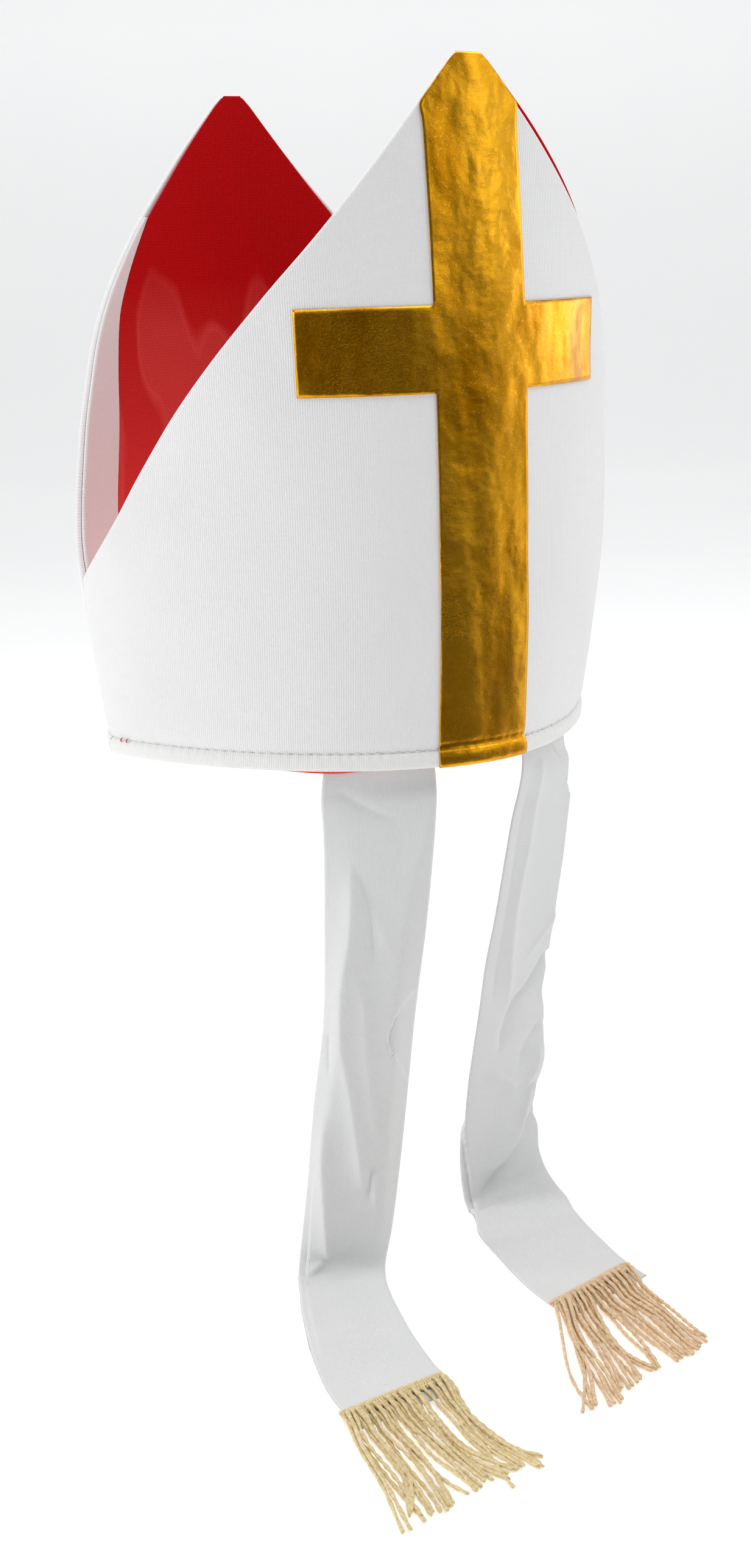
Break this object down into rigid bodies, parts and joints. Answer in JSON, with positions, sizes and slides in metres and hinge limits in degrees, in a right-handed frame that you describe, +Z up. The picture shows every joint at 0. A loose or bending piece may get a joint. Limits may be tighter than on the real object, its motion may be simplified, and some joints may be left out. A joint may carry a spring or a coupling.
{
  "type": "bishop mitre",
  "caption": "Tall white costume mitre with pointed horns, a gold foil cross, red lining, a padded hem and hanging lappets with fringed ends.",
  "frame": {"origin": "centre of the head opening, level with the bottom of the hem, where a head holds the mitre", "axes": "+Z up towards the horn tips, -Y towards the side with the cross, +X towards the wearer's left"},
  "size_m": [0.2322, 0.3364, 0.4297],
  "materials": {
    "white_cloth": "fine white knit bonded to thin foam",
    "white_facing": "white inner cloth beside the red lining",
    "red_lining": "matte red lining cloth",
    "gold_foil": "metallic gold foil cloth with a fine sparkle",
    "lappet_cloth": "thin white doubled cloth",
    "gold_braid": "pale gold braid and twisted fringe strands"
  },
  "bodies": {
    "root": {"cross_panel": "white_cloth", "plain_panel": "white_cloth", "cross_lining": "red_lining", "plain_lining": "red_lining", "left_facing": "white_facing", "right_facing": "white_facing", "hem_band": "white_cloth", "gold_cross": "gold_foil", "left_lappet": "lappet_cloth", "right_lappet": "lappet_cloth", "left_fringe": "gold_braid", "right_fringe": "gold_braid"}
  },
  "joints": []
}
